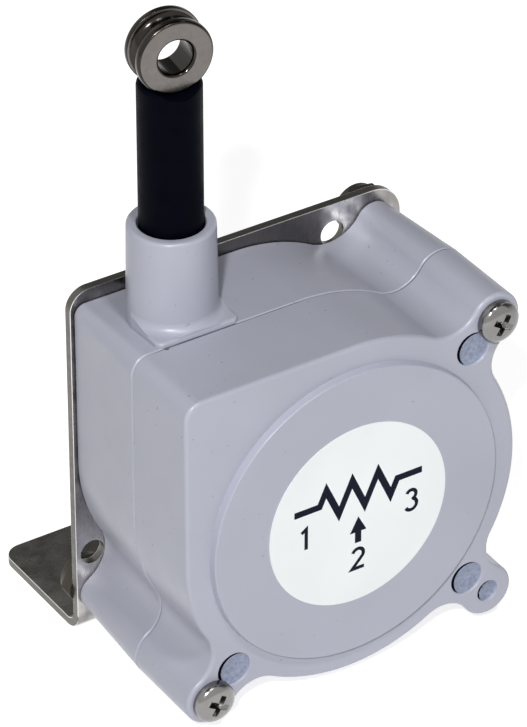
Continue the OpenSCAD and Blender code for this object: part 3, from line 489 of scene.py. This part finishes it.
# the CAD nodes, apart from the four that pieces built here replace
NODE_LOOK = {
    "mounting_bracket": "plate", "label": "label", "cover_screws": "screw", "rear_nuts": "nut",
    "nut_inserts": "guide", "wire_guide": "guide", "eyelet": "eyelet", "wire_loop": "wire",
    "crimp_ferrule": "brass", "rubber_sleeve": "sleeve", "spool": "spool", "wound_wire": "wire",
    "wire_anchor": "brass", "hub_set_screw": "nut", "power_spring": "strip",
    "spring_cup": "plate", "spring_cover": "plate", "front_bearing": "bronze",
    "pot_bushing": "screw", "pot_case": "pot", "pot_terminals": "brass", "pot_nut": "screw",
    "pot_lock_washer": "screw", "pot_element": "element", "pot_shaft": "shaft",
    "pot_wiper": "brass",
}


def paint(ob, key):
    ob.data.materials.clear()
    ob.data.materials.append(M[key])
    return ob


for node, look in NODE_LOOK.items():
    paint(N[node], look)


# ------------------------------------------------------------------ the housing
def front_shell():
    rings = edge_rings(FLANGE, 0.65, 1)
    rings += [(SEAM - 0.34, 0), (SEAM - 0.12, 0.12), (SEAM, 0.42)]
    ob = loft("front_shell", rings)
    disc = [(0, 0)] + bend((25.1, 0.3), 0.3, 270, 350) + [(R_DISC, FLANGE), (R_DISC, 3.0), (0, 3.0)]
    boolean(ob, [lathe("disc", disc, seg=192)], "UNION")
    cuts = [rod("cavity", R_CAV, CAV_FRONT, SEAM + 1, seg=128)]
    for at in (UR, LL, LR):
        middle = at_angle(PIN, at)
        cuts.append(recess("pocket", R_POCKET, middle, lip=0.3, depth=2.6, seg=64))
        if at != LR:
            cuts.append(rod("bore", R_SCREW, -1, SEAM + 1, at_angle(EAR, at)))
    cuts.append(recess("dimple", R_DIMPLE, at_angle(EAR, LR), lip=0.2, depth=1.5, seg=48))
    # a small nick in the seam's edge, beside the snout's pad
    nick = [(0, -0.5), (0.35, -0.42), (0.42, 0), (0.35, 0.42), (0, 0.5)]
    cuts.append(lathe("nick", nick, (WX - 5.9, SEAM - 0.2, R_BODY - 0.05), "Z", seg=16))
    boolean(ob, cuts, "DIFFERENCE")
    paint(soften(ob), "housing")
    shade_hollows(ob)
    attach(ob, "housing")
    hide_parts("front_housing")


def shade_hollows(ob):
    """Paints shade on the upper left walls of the pockets and the dimple, which the plugs leave
    open.
    """
    ob.data.materials.append(M["gap"])
    hollows = [at_angle(PIN, at) for at in (UR, LL, LR)] + [at_angle(EAR, LR)]
    for f in ob.data.polygons:
        px, py, pz = f.center.x * 1000, f.center.y * 1000 + F_HOLES, f.center.z * 1000 - H_AXIS
        away, hx, hz = min((math.hypot(px - hx, pz - hz), hx, hz) for hx, hz in hollows)
        inside = away < R_HEAD and FLANGE + 0.3 < py < FLANGE + 3
        if inside and OFF[0] * (px - hx) + OFF[1] * (pz - hz) < 0.3:
            f.material_index = 1


def rear_shell():
    rings = [(SEAM, 0.42), (SEAM + 0.1, 0.16), (SEAM + 0.3, 0), (PLATE - 0.5, 1.08)]
    rings += [(y, 1.1 + d) for y, d in reversed(edge_rings(PLATE, 0.4, -1, 3))]
    ob = loft("rear_shell", rings)
    # the snout: a square pad, a fillet cut to the pad's shape, and the tapered tube
    pad = rounded_prism("pad", PAD, SEAM + 0.04, y1=25, z0=27, z1=PAD_TOP, soft=0.5)
    tube = upright("tube", [(0, 27), (R_TUBE, 27), (R_TUBE - 0.04, 31)]
                   + bend((6.15, Z_SNOUT - 0.6), 0.6, 0, 90) + [(0, Z_SNOUT)])
    flare = upright("flare", [(0, 29), (8.4, 29), (8.4, PAD_TOP - 0.02)]
                    + bend((8.46, 31.9), 1.5, 272, 184, 8) + [(6.5, 32), (0, 32)])
    foot = rounded_prism("flare_foot", PAD - 0.08, SEAM + 0.12, y1=25, z0=28, z1=33, soft=0.2)
    boolean(flare, [foot], "INTERSECT")
    boolean(ob, [pad, flare, tube], "UNION")
    rim, mouth = 0.35, Z_SNOUT - 0.35
    bore = [(0, 29), (R_BORE, 29), (R_BORE, mouth)] + bend((R_BORE + rim, mouth), rim, 180, 90)
    bore += [(R_BORE + rim, 50), (0, 50)]
    guide = [(0, 20), (R_THROAT, 20), (R_THROAT, GUIDE_Z), (R_GUIDE, GUIDE_Z)]
    guide += [(R_GUIDE, GUIDE_Z + 1.5), (0, GUIDE_Z + 1.5)]
    cuts = [
        rod("cavity", R_CAV, SEAM - 1, CAV_BACK, seg=128),
        rod("bushing", 4.91, CAV_BACK - 0.4, BEHIND, seg=48),
        upright("bore", bore),
        upright("guide", guide, seg=48),
    ]
    cuts += [rod("bore", R_SCREW, SEAM - 1, BEHIND, at_angle(EAR, at)) for at in (UR, LL)]
    boolean(ob, cuts, "DIFFERENCE")
    paint(soften(ob), "housing")
    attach(ob, "housing")
    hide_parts("rear_housing")


def plug(name, middle, r, gap, back, ragged=0.0):
    """A dished plug, gap off the middle of its hole, so that a crescent stays open beside it.

    back is where its thinner stem ends, and ragged how far its edge wavers, as a part of r."""
    cx, cz = middle[0] + OFF[0] * gap, middle[1] + OFF[1] * gap
    rim, bed, dish = FLANGE + 0.24, FLANGE + 1.25, 0.42
    profile = [(r * k, rim + dish * (1 - k * k)) for k in (0, 0.35, 0.6, 0.8, 0.92)]
    profile += [(r * 0.985, rim + 0.03), (r, rim + 0.12), (r, bed), (r * 0.5, bed)]
    profile += [(r * 0.5, back), (0, back)]
    ob = lathe(name, profile, (cx, 0, cz), seg=72)
    for v in ob.data.vertices:
        dx, dz = v.co.x * 1000 - cx, v.co.z * 1000 - H_AXIS - cz
        t = math.atan2(dz, dx)
        waver = (math.sin(9 * t) + 0.7 * math.sin(17 * t + 1)) * min(1, math.hypot(dx, dz) / r)
        k = 1 + ragged * waver
        v.co.x, v.co.z = (cx + dx * k) / 1000, (cz + dz * k + H_AXIS) / 1000
    return ob


def fit_plug(ob):
    """Paints a plug, with painted shade on its sides, and fixes it to the housing."""
    paint(soften(ob), "pin")
    ob.data.materials.append(M["gap"])
    # painted shade on the plug's sides, down in the gap
    for f in ob.data.polygons:
        if abs(f.normal.y) < 0.3:
            f.material_index = 1
    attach(ob, "housing")


def pressed_pins():
    """The three headed pins in one object, and the dimple's rough floor."""
    pins = [plug("pin_set", at_angle(PIN, at), R_HEAD, gap=0.8, back=FLANGE + 18.5)
            for at in (UR, LL, LR)]
    boolean(pins[0], pins[1:], "UNION")
    fit_plug(pins[0])
    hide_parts("assembly_pins")
    fit_plug(plug("dimple_floor", at_angle(EAR, LR), R_FLOOR, gap=0.78, back=FLANGE + 1.3,
                  ragged=0.026))


front_shell()
rear_shell()
pressed_pins()

# ------------------------------------------------------------------ pieces from the CAD: node,
# name of the copy, and width of its rounded edges in mm
shown = {}
for node, name, width in (
    ("mounting_bracket", "bracket_sheet", 0.26), ("cover_screws", "screw_pair", 0.12),
    ("rear_nuts", "nut_pair", 0.12), ("eyelet", "eyelet_ring", 0.12),
    ("rubber_sleeve", "sleeve_tube", 0.15), ("pot_case", "pot_body", 0.4),
    ("pot_bushing", "pot_front", 0.15), ("pot_terminals", "pot_lugs", 0.08),
):
    shown[node] = from_cad(node, name, width).data


def turned_eyelet(me):
    """The eyelet's polished groove and bore are darker than its flat faces: a painted dark
    reflection.
    """
    me.materials.append(M["eyelet_painted_dark"])
    turn = math.radians(8)               # the eyelet is turned about the wire by so much
    axis = Vector((math.sin(turn), math.cos(turn), 0))
    for f in me.polygons:
        if abs(f.normal.dot(axis)) < 0.93:
            f.material_index = 1


def sheared_bracket(me):
    """The sheet's sheared faces are dull and its rounded edges have a painted highlight; its bend
    stays plain.
    """
    me.materials.append(M["edge"])
    me.materials.append(M["cut"])
    bend_r = 0.0034                      # the outside of the bend and a little more, metres
    along, square_on, strip = 0.2, 0.97, 2e-5    # parts of a normal, and a rounded edge's area
    for f in me.polygons:
        c, nrm = f.center, f.normal
        behind_plate = c.y - (PLATE - F_HOLES) / 1000
        if c.z < bend_r and behind_plate < bend_r and abs(nrm.x) < along:
            continue
        across = nrm.y if c.z > bend_r else nrm.z
        if abs(across) < along:
            f.material_index = 2
        elif max(abs(v) for v in nrm) < square_on and f.area < strip:
            f.material_index = 1


turned_eyelet(shown["eyelet"])
sheared_bracket(shown["mounting_bracket"])

# ------------------------------------------------------------------ label print: a potentiometer's
# symbol and its three plain terminal numbers, flat on the label's face, in x and z in mm
INK_Y = -0.17
LINE_W, DIGIT_W, DIGIT_H = 1.15, 0.62, 3.8
ZIG_Z, ZIG_H, ZIG_STEP = 4, 2.6, 2.333


def ink(name, points, width):
    """A drawn line of that width with square ends and mitred bends."""
    left, right = [], []
    for k, (x, z) in enumerate(points):
        near = points[max(k - 1, 0):k + 2]
        dirs = []
        for (x0, z0), (x1, z1) in zip(near, near[1:]):
            d = math.hypot(x1 - x0, z1 - z0)
            dirs.append(((x1 - x0) / d, (z1 - z0) / d))
        (ax, az), (bx, bz) = dirs[0], dirs[-1]
        nx, nz = -(az + bz), ax + bx
        m = width / 2 / max(nx * -az + nz * ax, 0.2)
        left.append((x + nx * m, z + nz * m))
        right.append((x - nx * m, z - nz * m))
    n = len(points)
    quads = [(k, n + k, n + k + 1, k + 1) for k in range(n - 1)]
    return new_object(name, [(x, INK_Y, z) for x, z in left + right], quads)


def digit(k, cx, cz):
    """The stroke of the plain number 1, 2 or 3 about (cx, cz)."""
    stroke = {
        1: [(-0.16, 0.34), (0.06, 0.5), (0.06, -0.5)],
        2: bend((0, 0.22), 0.26, 160, -35, 14) + [(-0.28, -0.46), (0.3, -0.46)],
        3: bend((0, 0.25), 0.23, 155, -62, 14) + bend((0, -0.22), 0.27, 62, -155, 14),
    }[k]
    return [(cx + x * DIGIT_H, cz + z * DIGIT_H) for x, z in stroke]


def label_print():
    zigzag = [(-11.5, ZIG_Z), (-7, ZIG_Z)]
    zigzag += [(-5.83 + ZIG_STEP * i, ZIG_Z + (-ZIG_H if i % 2 else ZIG_H)) for i in range(6)]
    zigzag += [(7, ZIG_Z), (11.5, ZIG_Z)]
    strokes = [(zigzag, LINE_W), ([(0, -5.2), (0, -3.2)], LINE_W)]
    numbers = ((1, -9.6, -1), (3, 9.6, -1), (2, 0, -8.2))
    strokes += [(digit(k, x, z), DIGIT_W) for k, x, z in numbers]
    for i, (line, width) in enumerate(strokes):
        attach(paint(ink(f"print_{i}", line, width), "ink"), "housing")
    tip = [(-1.5, INK_Y, -3.2), (1.5, INK_Y, -3.2), (0, INK_Y, -0.4)]
    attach(paint(new_object("print_head", tip, [(0, 1, 2)]), "ink"), "housing")


label_print()


# ------------------------------------------------------------------ draw wire
def draw_wire():
    """A plain tube through the CAD draw wire's box: its lower end at the spool, its upper end at
    the eyelet.
    """
    lo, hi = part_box("draw_wire")
    cx, cy, r = (lo[0] + hi[0]) / 2, (lo[1] + hi[1]) / 2, (hi[0] - lo[0]) / 2
    levels, seg = 60, 20
    verts = [(cx + r * math.cos(math.tau * j / seg), cy + r * math.sin(math.tau * j / seg),
              lo[2] + (hi[2] - lo[2]) * i / levels) for i in range(levels + 1) for j in range(seg)]
    faces = tube_faces(levels + 1, seg)
    wire = paint(soften(recalc(new_object("wire_run", verts, faces, sensor=False))), "wire")
    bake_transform(wire)
    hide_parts("draw_wire")


draw_wire()

# ------------------------------------------------------------------ camera
CAM_AT = Vector((-0.33985, -0.55071, 0.46965))
CAM_TO = Vector((-0.009154, -0.0353, 0.05663))
CAM_ROLL = -0.04                         # degrees
cam = bpy.data.cameras.new("camera")
cam.sensor_width, cam.lens, cam.clip_start, cam.clip_end = 36, 245.8, 0.02, 20
cam_ob = add("camera", cam)
turn = (CAM_TO - CAM_AT).to_track_quat("-Z", "Y").to_matrix().to_4x4()
roll = Matrix.Rotation(math.radians(CAM_ROLL), 4, "Z")
cam_ob.matrix_world = Matrix.Translation(CAM_AT) @ turn @ roll
SC.camera = cam_ob

# ------------------------------------------------------------------ floor and light
AIM = Vector((0, -0.03, 0.04))           # what the lamps and the cards face
KEY_W, FILL_W = 5.5, 2.2
WORLD = 0.02                             # what the surroundings light the object with
FLOOR_LIFT = 0.77                        # what the floor adds to its own lit tone, to show white
WHITE = (1, 1, 1, 1)


def by_ray(t, other, shown_as):
    """shown_as for camera, glossy and transmission rays, and other for those that light."""
    rays = t.nodes.new("ShaderNodeLightPath")
    seen = rays.outputs["Is Camera Ray"]
    for kind in ("Is Glossy Ray", "Is Transmission Ray"):
        either = t.nodes.new("ShaderNodeMath")
        either.operation = "MAXIMUM"
        t.links.new(seen, either.inputs[0])
        t.links.new(rays.outputs[kind], either.inputs[1])
        seen = either.outputs[0]
    m = t.nodes.new("ShaderNodeMapRange")
    m.inputs["To Min"].default_value, m.inputs["To Max"].default_value = other, shown_as
    t.links.new(seen, m.inputs["Value"])
    return m.outputs["Result"]


def square(name, half, z=0):
    verts = [(-half, -half, z), (half, -half, z), (half, half, z), (-half, half, z)]
    return new_object(name, verts, [(0, 1, 2, 3)], sensor=False)


def paper_floor():
    ob = square("floor", 4, -0.0002)
    n = Nodes("floor_paper")
    tone = n.mix(n.remap(n.noise(6, 2), 0.3, 0.7), (0.88, 0.88, 0.88, 1), (0.90, 0.90, 0.90, 1))
    n.link(by_ray(n.t, 0.0, FLOOR_LIFT), n.bsdf.inputs["Emission Strength"])
    ob.data.materials.append(n.out(tone, 0.9, Specular_IOR_Level=0.0, Emission_Color=WHITE))


def polar(azimuth, elevation, distance):
    """A point round the object: azimuth 0 is in front, towards -Y, and negative is to the left."""
    a, e = math.radians(azimuth), math.radians(elevation)
    away = Vector((math.sin(a) * math.cos(e), -math.cos(a) * math.cos(e), math.sin(e)))
    return AIM + distance * away


def face_object(ob, at):
    ob.location = at
    ob.rotation_euler = (AIM - at).to_track_quat("-Z", "Y").to_euler()


def lamp(name, at, size, watts):
    li = bpy.data.lights.new(name, "AREA")
    li.shape, li.size, li.energy = "DISK", size, watts
    face_object(add(name, li), at)


def dark_card(name, at, size, tone):
    """A dark studio card that only reflections see, so that metal isn't white all round."""
    ob = square(name, size / 2)
    face_object(ob, at)
    ob.visible_camera = ob.visible_diffuse = ob.visible_shadow = False
    n = Nodes(name)
    n.out((0, 0, 0, 1), 0.9, Specular_IOR_Level=0.0, Emission_Color=(1, 1, 0.94, 1),
          Emission_Strength=tone)
    n.mat.cycles.emission_sampling = "NONE"
    ob.data.materials.append(n.mat)


def studio_world():
    world = bpy.data.worlds.new("studio")
    SC.world = world
    world.use_nodes = True
    t = world.node_tree
    bg = t.nodes["Background"]
    bg.inputs["Color"].default_value = WHITE
    t.links.new(by_ray(t, WORLD, 1.0), bg.inputs["Strength"])


paper_floor()
lamp("key", polar(-38, 40, 0.9), size=0.05, watts=KEY_W)
lamp("fill", polar(-8, 60, 0.9), size=0.12, watts=FILL_W)
dark_card("card_top", polar(0, 88, 0.7), size=0.8, tone=0.08)
dark_card("card_back", polar(148, 34, 1.1), size=0.9, tone=0.2)
dark_card("card_right", polar(70, 30, 1.1), size=0.8, tone=0.15)
studio_world()
SC.view_settings.view_transform = "Standard"
